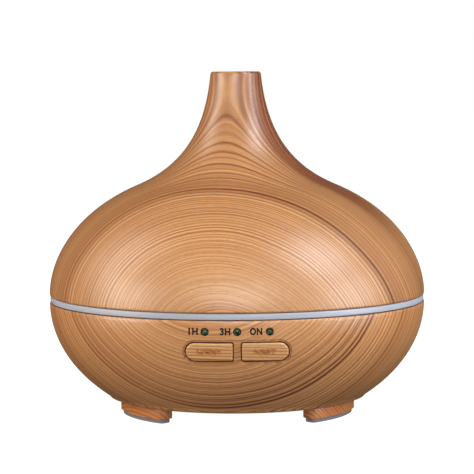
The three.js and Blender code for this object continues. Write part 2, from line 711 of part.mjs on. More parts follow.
/** A square tactile switch with a blind well for its plunger. */
function switchBody(side) {
  const { x, thick, plunger } = SWITCH;
  const half = SWITCH.side / 2;
  const middle = (BUTTON.low + BUTTON.high) / 2;
  const front = PANEL_FRONT - thick;
  const back = PANEL_FRONT - 0.1;
  const body = box([side * x - half, front, middle - half], [side * x + half, back, middle + half]);
  return cut(body, cylinderY(plunger + GAP, front - 1, PANEL_FRONT - 1.2, side * x, middle, 16));
}

/** An indicator: domed lens, rim and legs back to the panel board. */
function indicator(x) {
  const depth = Math.sqrt(83.7 ** 2 - x ** 2) - 0.9;
  const { radius } = INDICATOR;
  const lens = new THREE.LatheGeometry(
    [
      [0, -6],
      [radius + 0.4, -6],
      [radius + 0.4, -5],
      [radius, -5],
      [radius, -1.2],
      [radius * 0.8, -0.4],
      [0, 0],
      [0, -6],
    ].map(point),
    12,
  );
  const bulb = solid(lens.rotateX(Math.PI).translate(x, -depth, INDICATOR.z));
  const legs = [-0.9, 0.9].map((dx) => {
    const low = [x + dx - 0.25, 5.5 - depth, INDICATOR.z - 0.25];
    return box(low, [x + dx + 0.25, PANEL_FRONT + 2.2, INDICATOR.z + 0.25]);
  });
  return joined(bulb, ...legs);
}

/** The upright board behind the buttons, pierced for the indicators' legs. */
function panelBoard() {
  const board = box([-26.5, PANEL_FRONT, 28.5], [26.5, PANEL_FRONT + 1.5, 47.6]);
  const holes = [-1, 1].map((s) => cylinderY(1.4, -80, -60, s * 23, 43.5, SCREW_STEPS));
  const legHoles = [-1, 0, 1].map((k) => {
    const x = k * INDICATOR.pitch;
    return box([x - 1.5, -80, INDICATOR.z - 0.6], [x + 1.5, -60, INDICATOR.z + 0.6]);
  });
  return cut(board, ...holes, ...legHoles);
}

function addPanel() {
  add("light_button", button(-1), WOOD);
  add("mist_button", button(1), WOOD);
  const middle = (BUTTON.low + BUTTON.high) / 2;
  [
    ["light", -1],
    ["mist", 1],
  ].forEach(([name, side]) => {
    add(`${name}_switch`, switchBody(side), BLACK);
    const plunger = cylinderY(SWITCH.plunger, PLUNGER_TIP, PANEL_FRONT - 1.9, side * SWITCH.x, middle, 12);
    add(`${name}_switch_plunger`, plunger, BLACK);
  });
  ["one_hour", "three_hour", "continuous"].forEach((name, i) => {
    add(`indicator_${name}`, indicator((i - 1) * INDICATOR.pitch), GREEN_LENS);
  });
  add("panel_board", panelBoard(), BOARD_GREEN);
  const panelScrew = geometryOf(screw(2.2, 1.3, 0.95, 7)).rotateX(Math.PI / 2);
  [-1, 1].forEach((s, i) => {
    const place = { x: s * 23, y: PANEL_FRONT + 1.6, z: 43.5 };
    add(`panel_screw_${i + 1}`, panelScrew, STEEL, place);
  });
}

// ---------- boards, socket and cables ----------
function mainBoard() {
  const { left, right, front, back, bottom } = BOARD;
  const holes = BOARD_SCREWS.map(([x, y]) => cylinder(1.5, 0, 20, x, y, SCREW_STEPS));
  return cut(box([left, front, bottom], [right, back, BOARD_TOP]), ...holes);
}

/** A drum-core inductor: two flanges and a wound waist. */
function inductor() {
  return lathe(
    [
      [0, 0],
      [6, 0],
      [6, 1.4],
      [5.1, 1.8],
      [5.1, 6.2],
      [6, 6.6],
      [6, 8],
      [0, 8],
    ],
    SMALL_STEPS,
  );
}

/** An electrolytic can with its crimp groove. */
function capacitor() {
  return lathe(
    [
      [0, 0],
      [4, 0],
      [4, 1],
      [3.6, 1.5],
      [4, 2],
      [4, 9],
      [3.6, 9.4],
      [0, 9.4],
    ],
    SMALL_STEPS,
  );
}

/** A finned heat sink with a power transistor's face on its flat side. */
function heatSink() {
  const block = box([-7, -4, 0], [7, 4, 8.5]);
  const slots = [-4.9, -2.1, 0.7, 3.5].map((x) => box([x, -5, -1], [x + 1.4, 2.4, 10]));
  return cut(block, ...slots);
}

/** The barrel socket's block, with a round well and a hole in its back wall for the pin. */
function dcJack() {
  const { front, back, z, half, pin } = JACK;
  const block = box([-half, back, z - half], [half, front, z + half]);
  const well = cylinderY(2.9, back + 2, front + 1, 0, z, SMALL_STEPS);
  return cut(block, well, cylinderY(pin + GAP, back - 1, back + 3, 0, z, 12));
}

/** The socket's centre pin, with a rounded tip. */
function jackPin() {
  const { front, back, z, pin } = JACK;
  const shaft = cylinderY(pin, back + GAP, front - 1.2, 0, z, 12);
  return joined(shaft, cylinderY(pin * 0.6, front - 1.5, front - 0.8, 0, z, 12));
}

/** The C-shaped board under the tank's flange, open at the front for the panel. */
function lightBoard() {
  const { inner, outer, bottom, thick, gap } = LIGHT_BOARD;
  const top = bottom + thick;
  const ring = lathe([
    [outer, bottom],
    [outer, top],
    [inner, top],
    [inner, bottom],
  ]);
  return cut(ring, box([-outer, -outer - 1, bottom - 1], [outer, -gap, top + 1]));
}

function addElectronics() {
  add("main_board", mainBoard(), BOARD_GREEN);
  const z = BOARD_TOP + 0.1;
  add("drive_inductor", inductor(), BLACK, { x: -42, y: 4, z });
  add("filter_capacitor", capacitor(), CABLE, { x: -44, y: 17, z });
  add("heat_sink", heatSink(), STEEL, { x: -30, y: 20, z });
  add("controller_chip", box([-4.5, -3.2, 0], [4.5, 3.2, 1.2]), BLACK, { x: -19, y: 6, z });
  const boardScrew = geometryOf(screw(2.2, 1.3, 0.95, 4)).rotateX(Math.PI);
  BOARD_SCREWS.forEach(([x, y], i) => add(`board_screw_${i + 1}`, boardScrew, STEEL, { x, y, z }));
  add("dc_jack", dcJack(), BLACK);
  add("dc_jack_pin", jackPin(), STEEL);
  add("light_board", lightBoard(), BOARD_GREEN);
  const middle = (LIGHT_BOARD.inner + LIGHT_BOARD.outer) / 2;
  const chip = box([-2.5, -2.5, 0], [2.5, 2.5, 1.5]);
  [60, 120, 240, 300].forEach((azimuth, i) => {
    const height = LIGHT_BOARD.bottom + LIGHT_BOARD.thick + 0.1;
    const place = { ...polar(azimuth, middle), z: height, turn: azimuth - 90 };
    add(`colour_led_${i + 1}`, chip, LED_WHITE, place);
  });
}

/** The internal leads, each on its real route between two pieces. */
function addCables() {
  const piezo = [
    [0, 0, 17.2],
    [-0.8, 0, 14.6],
    [-5, -2, 13.4],
    [-10, -3, 13.3],
    [-16, -4, 13.3],
  ];
  const fan = [
    [15, 4, 12],
    [10, -2, 12.6],
    [4, -8, 13],
    [-6, -9.6, 13.3],
    [-17, -9.5, 13.3],
  ];
  const panel = [
    [-9, PANEL_FRONT + 2.8, 31],
    [-9.5, -62.5, 26],
    [-11, -56, 19.5],
    [-14, -45, 14.5],
    [-18, -26, 13.4],
    [-22, -9, 13.4],
  ];
  const power = [
    [0, JACK.back - 0.9, 18],
    [-4, 46, 16.2],
    [-10, 37, 14.8],
    [-17, 28, 13.8],
    [-22, 16, 13.4],
  ];
  add("piezo_cable", cable(piezo, 0.8, 10), CABLE);
  add("fan_cable", cable(fan, 0.8, 10), CABLE);
  add("panel_cable", cable(panel, 1.1, 14), CABLE);
  add("power_cable", cable(power, 1.1, 10), CABLE);
}

addCover();
addTank();
addBase();
addFan();
addPanel();
addElectronics();
addCables();

export default group;
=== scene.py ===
"""The wood-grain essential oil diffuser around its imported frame: fine shells, grain and lights."""

import json
import math

import bmesh
import bpy
import numpy as np
from mathutils import Matrix, Vector


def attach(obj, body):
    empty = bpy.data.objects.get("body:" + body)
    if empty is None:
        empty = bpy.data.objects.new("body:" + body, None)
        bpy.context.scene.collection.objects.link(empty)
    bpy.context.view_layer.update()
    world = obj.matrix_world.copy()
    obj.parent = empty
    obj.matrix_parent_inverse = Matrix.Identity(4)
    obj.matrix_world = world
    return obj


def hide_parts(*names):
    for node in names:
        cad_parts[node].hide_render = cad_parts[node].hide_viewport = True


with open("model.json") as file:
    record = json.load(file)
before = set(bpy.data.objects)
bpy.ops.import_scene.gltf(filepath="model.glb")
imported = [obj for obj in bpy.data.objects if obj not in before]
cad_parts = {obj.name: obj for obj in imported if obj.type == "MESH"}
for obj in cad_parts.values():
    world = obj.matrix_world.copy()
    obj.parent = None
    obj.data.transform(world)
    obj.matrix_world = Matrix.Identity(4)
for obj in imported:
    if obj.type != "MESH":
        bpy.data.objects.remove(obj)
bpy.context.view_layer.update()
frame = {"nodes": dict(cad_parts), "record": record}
MM = 0.001

# ---------- dimensions in millimetres ----------
# Heights are measured from a datum LIFT above the floor, and finished() lifts every mesh by as much.
LIFT = 1.2
BODY_R = 84
HEIGHT = 151
SEAM_LOW = 48.7
SEAM_HIGH = 51.8
SPOUT_R = 11.3
MOUTH_R = 7.8
UNDERSIDE = 5.6
WALL = 2.1
FLANGE_R = 83.7
COLLAR_R = 64.2
COLLAR_TOP = 60
TANK_WALL = 2
CHIMNEY = {"at": 45, "depth": 13, "width": 22, "wall": 1.6, "bottom": 22.4, "top": 62, "turn": 30}
FOOT = {"inner": 45, "outer": 53, "half_span": 22.2, "corner": 2.5}
PAD = {"inner": 46, "outer": 52, "half_span": 21, "corner": 1.8, "thick": 1.8}
THIRDS = (-60, 60, 180)
BUTTON = {"inner": 1.9, "outer": 21.4, "low": 31.5, "high": 39.3, "proud": 0.55, "slot": 0.35, "back": -73.6}
RECESS = {"margin": 1.2, "depth": 0.75, "step": 0.45}
HOLE = {"depth": 2.6, "step": 0.4}
EYES = {"pitch": 13.4, "z": 44.1, "hole": 1.62}
SOCKET = {"z": 18, "radius": 5.8, "depth": 9, "floor": 61.4, "step": 0.5}
GUIDE = {"tube": 9, "wall": 1.5, "skirt": 60.3, "bottom": 54.2, "seats": 40}
WORDS = {"size": 2.7, "thick": 0.25}
MARKS = {"size": 4.0, "thick": 0.06}


# ---------- outlines ----------
def bezier_chain(points, steps):
    """Points on a chain of cubic Bezier curves: a start, then two handles and an end for each curve."""
    chain = [points[0]]
    for i in range(0, len(points) - 3, 3):
        a, b, c, d = (np.array(p, float) for p in points[i : i + 4])
        for t in np.linspace(0, 1, steps + 1)[1:]:
            u = 1 - t
            chain.append(tuple(u**3 * a + 3 * u * u * t * b + 3 * u * t * t * c + t**3 * d))
    return chain


def offset(outline, distance):
    """An outline moved sideways by a distance, to its right as it is walked."""
    moved = []
    for i, p in enumerate(outline):
        before = Vector(outline[max(i - 1, 0)])
        along = (Vector(outline[min(i + 1, len(outline) - 1)]) - before).normalized()
        moved.append((p[0] + along.y * distance, p[1] - along.x * distance))
    return moved


def arc(centre, radius, start, end, steps):
    """Points on an arc, in degrees."""
    turns = np.radians(np.linspace(start, end, steps))
    return [(centre[0] + radius * math.cos(t), centre[1] + radius * math.sin(t)) for t in turns]


COVER = bezier_chain(
    [
        (SPOUT_R, HEIGHT - 1), (14, 121.6), (26.5, 108.1), (44.7, 100.4),
        (75, 87.6), (BODY_R, 65.4), (BODY_R, 52.6),
    ],
    44,
)
HOUSING_CURVE = bezier_chain([(BODY_R, SEAM_LOW), (BODY_R, 31.9), (73, 11.9), (43, -0.84)], 60)
HOUSING = [p for p in HOUSING_CURVE if p[1] > 6.2]
GUIDE_OUTLINE = bezier_chain(
    [
        (GUIDE["tube"], 128), (GUIDE["tube"], 108), (18, 97), (32, 88),
        (50, 77), (GUIDE["skirt"], 68), (GUIDE["skirt"], 57),
    ],
    24,
)


def housing_radius(z):
    """The lower housing's outside radius at a height."""
    heights = [p[1] for p in HOUSING][::-1]
    radii = [p[0] for p in HOUSING][::-1]
    return np.interp(z, heights, radii)


# ---------- meshes ----------
def piece(name, vertices, faces, body, material, stands_for=(), smooth=50):
    """One named piece from points in mm: its material, body and the nodes it stands for."""
    mesh = bpy.data.meshes.new(name)
    mesh.from_pydata([Vector(v) * MM for v in vertices], [], faces)
    finished(name, mesh, body, material, stands_for, smooth)


def finished(name, mesh, body, material, stands_for=(), smooth=50):
    """A mesh in metres above the datum made into a named piece above the floor."""
    mesh.transform(Matrix.Translation((0, 0, LIFT * MM)))
    mesh.materials.append(material)
    tidy = bmesh.new()
    tidy.from_mesh(mesh)
    bmesh.ops.remove_doubles(tidy, verts=tidy.verts, dist=1e-7)
    bmesh.ops.recalc_face_normals(tidy, faces=tidy.faces)
    tidy.to_mesh(mesh)
    tidy.free()
    mesh.polygons.foreach_set("use_smooth", [True] * len(mesh.polygons))
    mesh.set_sharp_from_angle(angle=math.radians(smooth))
    made = bpy.data.objects.new(name, mesh)
    bpy.context.scene.collection.objects.link(made)
    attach(made, body)
    if stands_for:
        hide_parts(*stands_for)


def revolve(outline, azimuths):
    """Vertices and faces of a closed outline (radius, height) turned about Z through all the azimuths."""
    count = len(outline)
    vertices = [(r * math.sin(a), -r * math.cos(a), z) for a in azimuths for r, z in outline]
    faces = []
    for i in range(len(azimuths)):
        j = (i + 1) % len(azimuths)
        for k in range(count):
            m = (k + 1) % count
            faces.append((i * count + k, j * count + k, j * count + m, i * count + m))
    return vertices, faces


def even(steps):
    """Azimuths in radians, evenly all the way round."""
    return np.linspace(-math.pi, math.pi, steps, endpoint=False)


def at_azimuth(radius, azimuth):
    """A point in X and Y at an azimuth in degrees from the front."""
    turn = math.radians(azimuth)
    return (radius * math.sin(turn), -radius * math.cos(turn))


def sector(inner, outer, half_span, corner, steps=28):
    """Outline in X and Y of a ring sector round azimuth 0 (the front), with rounded corners."""
    far, near = outer - corner, inner + corner
    wide = half_span - math.degrees(math.asin(corner / far))
    narrow = half_span - math.degrees(math.asin(corner / near))
    outline = arc(at_azimuth(far, -wide), corner, -half_span - 180, -wide - 90, 8)
    outline += arc((0, 0), outer, -wide - 90, wide - 90, steps)[1:-1]
    outline += arc(at_azimuth(far, wide), corner, wide - 90, half_span, 8)
    outline += arc(at_azimuth(near, narrow), corner, half_span, narrow + 90, 8)
    outline += arc((0, 0), inner, narrow - 90, -narrow - 90, steps)[1:-1]
    outline += arc(at_azimuth(near, -narrow), corner, -narrow + 90, 180 - half_span, 8)
    return outline


def stack(outline, levels):
    """A solid between levels (inset, height) of one outline in X and Y, shrunk by each inset."""
    points = np.array(outline)
    before = np.roll(points, 1, 0)
    after = np.roll(points, -1, 0)
    along = after - before
    along /= np.linalg.norm(along, axis=1)[:, None]
    inward = np.stack([-along[:, 1], along[:, 0]], 1)
    vertices = []
    for inset, z in levels:
        vertices += [(*p, z) for p in points + inward * inset]
    count = len(points)
    faces = [tuple(range(count)), tuple((len(levels) - 1) * count + i for i in range(count))[::-1]]
    for level in range(len(levels) - 1):
        for i in range(count):
            j = (i + 1) % count
            low, high = level * count, (level + 1) * count
            faces.append((low + i, low + j, high + j, high + i))
    return vertices, faces


def turned_about_z(vertices, degrees):
    """Points turned about the object's axis."""
    c, s = math.cos(math.radians(degrees)), math.sin(math.radians(degrees))
    return [(x * c - y * s, x * s + y * c, z) for x, y, z in vertices]


# ---------- control panel shapes: distances in the front view, negative inside ----------
def rounded_box_distance(x, z, centre, half, radius):
    """Distance to a rounded rectangle; radius may differ from point to point."""
    qx = np.abs(x - centre[0]) - half[0] + radius
    qz = np.abs(z - centre[1]) - half[1] + radius
    outside = np.hypot(np.maximum(qx, 0), np.maximum(qz, 0))
    return outside + np.minimum(np.maximum(qx, qz), 0) - radius


def button_distance(x, z, side, grow=0.0):
    """Distance to one button's outline: a half round at its outer end, a small round by the bridge."""
    middle = side * (BUTTON["inner"] + BUTTON["outer"]) / 2
    half = (BUTTON["outer"] - BUTTON["inner"]) / 2 + grow
    tall = (BUTTON["high"] - BUTTON["low"]) / 2 + grow
    radius = np.where((x - middle) * side > 0, tall, 0.7 + grow)
    return rounded_box_distance(x, z, (middle, (BUTTON["high"] + BUTTON["low"]) / 2), (half, tall), radius)


def recess_distance(x, z):
    """Distance to the outline of the shallow recess round both buttons."""
    tall = (BUTTON["high"] - BUTTON["low"]) / 2 + RECESS["margin"]
    centre = (0, (BUTTON["high"] + BUTTON["low"]) / 2)
    return rounded_box_distance(x, z, centre, (BUTTON["outer"] + RECESS["margin"], tall), tall)


def hole_distance(x, z):
    """Distance to the nearest button slot or indicator hole."""
    slots = [button_distance(x, z, side, BUTTON["slot"]) for side in (-1, 1)]
    eyes = [np.hypot(x - k * EYES["pitch"], z - EYES["z"]) - EYES["hole"] for k in (-1, 0, 1)]
    return np.minimum.reduce(slots + eyes)


def step_down(distance, width):
    """0 outside an edge, 1 inside it, smooth over a width."""
    t = np.clip(0.5 - distance / width, 0, 1)
    return t * t * (3 - 2 * t)


# ---------- node trees ----------
class Tree:
    """Builds a material's node tree; every call returns an output socket."""

    def __init__(self, name):
        self.material = bpy.data.materials.new(name)
        self.material.use_nodes = True
        self.nodes = self.material.node_tree.nodes
        self.links = self.material.node_tree.links
        self.shader = self.nodes["Principled BSDF"]

    def put(self, socket, value):
        if isinstance(value, bpy.types.NodeSocket):
            self.links.new(value, socket)
        else:
            socket.default_value = value

    def math(self, operation, a, b=0.0):
        node = self.nodes.new("ShaderNodeMath")
        node.operation = operation
        for socket, value in zip(node.inputs, (a, b)):
            self.put(socket, value)
        return node.outputs[0]

    def add(self, a, b):
        return self.math("ADD", a, b)

    def times(self, a, b):
        return self.math("MULTIPLY", a, b)

    def place(self):
        """X, Y and height above the datum in millimetres, and the point itself."""
        coords = self.nodes.new("ShaderNodeTexCoord").outputs["Object"]
        scaled = self.nodes.new("ShaderNodeVectorMath")
        scaled.operation = "SCALE"
        scaled.inputs["Scale"].default_value = 1000
        self.put(scaled.inputs[0], coords)
        parts = self.nodes.new("ShaderNodeSeparateXYZ")
        self.put(parts.inputs[0], scaled.outputs[0])
        x, y, z = parts.outputs
        return x, y, self.add(z, -LIFT), scaled.outputs[0]

    def stretched(self, vector, scale):
        node = self.nodes.new("ShaderNodeMapping")
        node.inputs["Scale"].default_value = scale
        self.put(node.inputs["Vector"], vector)
        return node.outputs[0]

    def noise(self, vector, scale, detail=2.0, roughness=0.5):
        """Noise in space, around 0.5."""
        node = self.nodes.new("ShaderNodeTexNoise")
        node.inputs["Scale"].default_value = scale
        node.inputs["Detail"].default_value = detail
        node.inputs["Roughness"].default_value = roughness
        self.put(node.inputs["Vector"], vector)
        return node.outputs[0]

    def noise_along(self, value, scale, detail):
        """Noise along one value, around 0.5."""
        node = self.nodes.new("ShaderNodeTexNoise")
        node.noise_dimensions = "1D"
        node.inputs["Scale"].default_value = scale
        node.inputs["Detail"].default_value = detail
        self.put(node.inputs["W"], value)
        return node.outputs[0]

    def ramp(self, value, *stops):
        """A grey ramp through (position, level) stops."""
        node = self.nodes.new("ShaderNodeValToRGB")
        elements = node.color_ramp.elements
        for position, _ in stops[2:]:
            elements.new(position)
        for element, (position, level) in zip(elements, stops):
            element.position = position
            element.color = (level, level, level, 1)
        self.put(node.inputs[0], value)
        return node.outputs[0]

    def swing(self, noise, width):
        """Noise moved to be around 0, at a width."""
        return self.times(self.add(noise, -0.5), width)

    def between(self, value, low, high):
        """0 at low, 1 at high, smooth between them."""
        node = self.nodes.new("ShaderNodeMapRange")
        node.interpolation_type = "SMOOTHSTEP"
        node.inputs["From Min"].default_value = low
        node.inputs["From Max"].default_value = high
        self.put(node.inputs["Value"], value)
        return node.outputs[0]

    def mix(self, amount, a, b):
        node = self.nodes.new("ShaderNodeMix")
        node.data_type = "RGBA"
        self.put(node.inputs[0], amount)
        self.put(node.inputs[6], a)
        self.put(node.inputs[7], b)
        return node.outputs[2]

    def bump(self, height, distance_mm, strength=1.0):
        node = self.nodes.new("ShaderNodeBump")
        node.inputs["Strength"].default_value = strength
        node.inputs["Distance"].default_value = distance_mm * MM
        self.put(node.inputs["Height"], height)
        return node.outputs[0]

    def painted_crevice_shade(self, reach_mm):
        """1 on open surface, falling to 0 in slots that are narrow against the reach: the mask for shade
        painted into slots and seams.
        """
        node = self.nodes.new("ShaderNodeAmbientOcclusion")
        node.samples = 8
        node.inputs["Distance"].default_value = reach_mm * MM
        return node.outputs["AO"]

    def surface(self, **values):
        """Sets the shader's inputs by name, with _ for a space."""
        for name, value in values.items():
            self.put(self.shader.inputs[name.replace("_", " ")], value)
        return self.material


def srgb(red, green, blue):
    """A linear colour from 0-255 display values."""

    def linear(v):
        v /= 255
        return v / 12.92 if v <= 0.04045 else ((v + 0.055) / 1.055) ** 2.4

    return (linear(red), linear(green), linear(blue), 1)


def layer_depth(tree, x, y, z, layers):
    """How deep a point lies in the block: a gently bent field, level with the front where it crowds."""
    h = tree.add(z, -layers["seam"])
    terms = {
        "x": x,
        "y": y,
        "h": h,
        "xx": tree.times(x, x),
        "hh": tree.times(h, h),
        "xh": tree.times(x, h),
    }
    depth = 0.0
    for term, slope in layers["slopes"].items():
        depth = tree.add(depth, tree.times(terms[term], slope))
    return depth


def wood(name, layers, swirl, bands=(), lines=(), tint=(1, 1, 1), heart=0.0):
    """Satin printed wood grain. Growth layers are gently bent sheets in the block, so a curved face cuts
    them into nested arches. layers has the slopes of their depth, how many there are to the millimetre
    and the depths behind which that changes. swirl is how far they wander, in mm. bands and lines are
    (depth, half width, amount) of the broad and the fine dark ones. heart is how red the heartwood is
    that runs down the right of the neck."""
    tree = Tree(name)
    x, y, z, point = tree.place()
    depth = layer_depth(tree, x, y, z, layers)
    depth = tree.add(depth, tree.swing(tree.noise(point, 0.028, 1.0), swirl))
    depth = tree.add(depth, tree.swing(tree.noise(point, 0.13, 2.0), swirl * 0.16))

    years = tree.times(depth, layers["rate"])
    for where, change in layers["changes"]:
        years = tree.add(years, tree.times(tree.math("MAXIMUM", tree.add(depth, -where), 0.0), change))
    years = tree.add(years, tree.swing(tree.noise_along(depth, 0.3, 1.0), 0.8))
    season_now = tree.math("FRACT", years)
    late = tree.ramp(season_now, (0.0, 0.35), (0.15, 0.0), (0.55, 0.0), (0.82, 1.0), (1.0, 0.35))
    vigour = tree.ramp(tree.noise_along(years, 0.6, 1.0), (0.3, 0.45), (0.65, 1.0))
    vigour = tree.times(vigour, tree.add(0.35, tree.times(tree.between(depth, -86, -56), 0.65)))
    season = tree.ramp(tree.noise_along(depth, 0.11, 2.0), (0.35, 0.0), (0.65, 1.0))
    hairline = tree.ramp(tree.noise_along(years, 2.6, 2.0), (0.36, 0.0), (0.64, 1.0))
    fibre = tree.noise(tree.stretched(point, (0.16, 1.4, 1.4)), 1.0, 3.0, 0.6)
    pores = tree.noise(tree.stretched(point, (0.35, 2.6, 2.6)), 1.0, 2.0)
    flecks = tree.ramp(pores, (0.6, 0.0), (0.7, 1.0))
    blotch = tree.ramp(tree.noise(point, 0.035, 2.0), (0.35, 0.0), (0.65, 1.0))

    def shade(*display):
        linear = srgb(*display)
        return tuple(linear[i] * tint[i] for i in range(3)) + (1,)

    def layer(where, width):
        away = tree.times(tree.add(depth, -where), 1 / width)
        return tree.math("POWER", math.e, tree.times(tree.times(away, away), -1.0))

    colour = tree.mix(season, shade(236, 184, 126), shade(222, 162, 102))
    colour = tree.mix(tree.times(blotch, 0.4), colour, shade(214, 158, 110))
    for where, width, amount in bands:
        colour = tree.mix(tree.times(layer(where, width), amount), colour, shade(166, 112, 72))
    colour = tree.mix(tree.times(late, vigour), colour, shade(116, 60, 30))
    colour = tree.mix(tree.times(hairline, 0.58), colour, shade(150, 90, 46))
    colour = tree.mix(tree.times(fibre, 0.35), colour, shade(136, 80, 42))
    colour = tree.mix(tree.times(flecks, 0.35), colour, shade(116, 62, 36))
    rightwards = tree.add(0.3, tree.times(tree.between(x, -40, 10), 0.7))
    for where, width, amount in lines:
        strength = tree.times(rightwards, amount)
        colour = tree.mix(tree.times(layer(where, width), strength), colour, shade(98, 48, 26))
    if heart:
        streaks = tree.ramp(tree.noise_along(depth, 0.6, 2.0), (0.4, 0.35), (0.58, 1.0))
        core = tree.times(tree.between(depth, -3, 5), tree.between(depth, 36, 18))
        core = tree.times(core, tree.times(tree.between(x, 0, 8), tree.between(z, 74, 98)))
        streaks = tree.times(streaks, tree.ramp(fibre, (0.3, 0.6), (0.6, 1.0)))
        colour = tree.mix(tree.times(tree.times(core, streaks), heart), colour, shade(104, 32, 24))
    # painted shade: the wood is darkened to a deep brown in slots, seams and round the buttons, where shade
    # falls
    colour = tree.mix(tree.ramp(tree.painted_crevice_shade(1.0), (0.25, 0.0), (0.8, 1.0)), shade(64, 32, 16), colour)

    relief = tree.add(tree.times(tree.times(late, vigour), -0.6), tree.times(hairline, -0.35))
    relief = tree.add(relief, tree.times(fibre, 0.3))
    sheen = tree.add(0.3, tree.times(fibre, 0.14))
    return tree.surface(
        Base_Color=colour,
        Roughness=tree.add(sheen, tree.times(late, 0.05)),
        Specular_IOR_Level=0.78,
        Normal=tree.bump(relief, 0.05, 0.6),
    )


def plastic(name, colour, roughness, grain=0.02, scale=1.6, variation=0.06, **more):
    """Moulded plastic or rubber with a fine spark-eroded texture and slight tone variation."""
    tree = Tree(name)
    *_, point = tree.place()
    cloud = tree.noise(point, 0.08, 3.0)
    fine = tree.noise(point, scale, 3.0, 0.6)
    darker = tuple(c * (1 - variation * 2.5) for c in colour[:3]) + (1,)
    rough = tree.add(roughness - 0.06, tree.times(fine, 0.12))
    base = tree.mix(cloud, darker, colour)
    return tree.surface(Base_Color=base, Roughness=rough, Normal=tree.bump(fine, grain), **more)


def metal(name, colour, roughness):
    """Turned or stamped metal with fine brushing."""
    tree = Tree(name)
    *_, point = tree.place()
    brushed = tree.noise(tree.stretched(point, (0.6, 6.0, 6.0)), 1.0, 3.0)
    dull = tree.noise(point, 0.3, 3.0)
    rough = tree.add(roughness, tree.times(dull, 0.15))
    shade = tree.mix(tree.times(brushed, 0.4), colour, tuple(c * 0.7 for c in colour[:3]) + (1,))
    return tree.surface(
        Base_Color=shade, Roughness=rough, Metallic=1.0, Normal=tree.bump(brushed, 0.01)
    )


def circuit(name):
    """Green solder mask with copper tracks that show through as paler lines."""
    tree = Tree(name)
    *_, point = tree.place()
    cells = tree.nodes.new("ShaderNodeTexBrick")
    cells.inputs["Scale"].default_value = 0.35
    cells.inputs["Mortar Size"].default_value = 0.03
    tree.put(cells.inputs["Vector"], point)
    tracks = cells.outputs["Fac"]
    mottled = tree.noise(point, 0.5, 2.0)
    mask = tree.mix(mottled, srgb(24, 92, 48), srgb(18, 76, 40))
    shade = tree.mix(tree.times(tracks, 0.6), mask, srgb(74, 140, 76))
    rough = tree.add(0.35, tree.times(tracks, 0.1))
    return tree.surface(Base_Color=shade, Roughness=rough, Normal=tree.bump(tracks, 0.03))


COVER_LAYERS = {
    "seam": 53,
    "slopes": {"x": 0.1, "y": 1, "h": 0.38, "xx": 0.0024, "hh": -0.003, "xh": 0.0028},
    "rate": 1.0,
    "changes": ((-72, -0.3), (-40, -0.35), (-22, 0.05)),
}
HOUSING_LAYERS = {
    "seam": 48,
    "slopes": {"x": 0.125, "y": 1, "h": -0.5, "hh": -0.008},
    "rate": 0.7,
    "changes": ((-60, -0.25), (-38, -0.15)),
}
BUTTON_LAYERS = {"seam": 35, "slopes": {"x": 0.03, "y": 0.1, "h": 1}, "rate": 0.75, "changes": ()}
FOOT_LAYERS = {"seam": 0, "slopes": {"x": 0.55, "y": 0.35, "h": 0.75}, "rate": 0.7, "changes": ()}
COVER_WOOD = wood(
    "cover_wood", COVER_LAYERS, 2.0,
    bands=((-28, 7, 0.5), (-50, 2.5, 0.15), (3, 18, 0.5)),
    lines=(
        (-33.4, 1.0, 0.85), (-36, 0.6, 0.4), (-17, 0.5, 0.45),
        (-9, 0.4, 0.5), (-2, 0.4, 0.5), (5, 0.4, 0.5),
    ),
    tint=(0.99, 0.98, 0.98),
    heart=0.95,
)
HOUSING_WOOD = wood(
    "housing_wood", HOUSING_LAYERS, 1.6,
    bands=((-30, 8, 0.3), (-57, 5, 0.3)),
    lines=((-54, 0.45, 1.0), (-55.8, 0.4, 0.9), (-59, 0.35, 0.7), (-61.5, 0.35, 0.6), (-65, 0.35, 0.5)),
    tint=(1.03, 0.98, 0.93),
)
BUTTON_WOOD = wood(
    "button_wood", BUTTON_LAYERS, 0.8,
    lines=((-2.9, 0.25, 0.8), (-1.1, 0.35, 0.5), (0.9, 0.3, 0.7), (2.1, 0.2, 0.4)),
    tint=(1.2, 1.22, 1.22),
)
FOOT_WOOD = wood("foot_wood", FOOT_LAYERS, 1.0, tint=(1.06, 0.8, 0.58))
MILKY = plastic(
    "milky_plastic", srgb(176, 178, 187), 0.38, 0.008, 0.9, 0.02,
    Subsurface_Weight=0.35, Subsurface_Scale=0.004, Subsurface_Radius=(1.0, 1.0, 1.1),
)
WHITE = plastic("white_plastic", srgb(238, 236, 230), 0.4, 0.01)
BLACK = plastic("black_plastic", srgb(30, 30, 32), 0.45, 0.02)
PAD_RUBBER = plastic("pad_rubber", srgb(122, 118, 120), 0.8, 0.04, 1.2)
SILICONE = plastic("silicone", srgb(184, 194, 196), 0.55, 0.01)
CERAMIC = plastic("piezo_silvering", srgb(200, 202, 204), 0.3, 0.01, 0.8, Metallic=0.7)
COPPER = metal("copper_winding", srgb(170, 96, 56), 0.35)
STEEL = metal("zinc_steel", srgb(190, 192, 194), 0.28)
LEDS = plastic("led_lens", srgb(245, 240, 212), 0.25, 0.004)
CABLES = plastic("cable_jacket", srgb(38, 38, 40), 0.55, 0.01)
BOARD = circuit("circuit_board")
INK = plastic("label_ink", srgb(18, 11, 9), 0.75, 0.004)
LENS_RIM = plastic("indicator_rim", srgb(14, 22, 14), 0.3, 0.004)


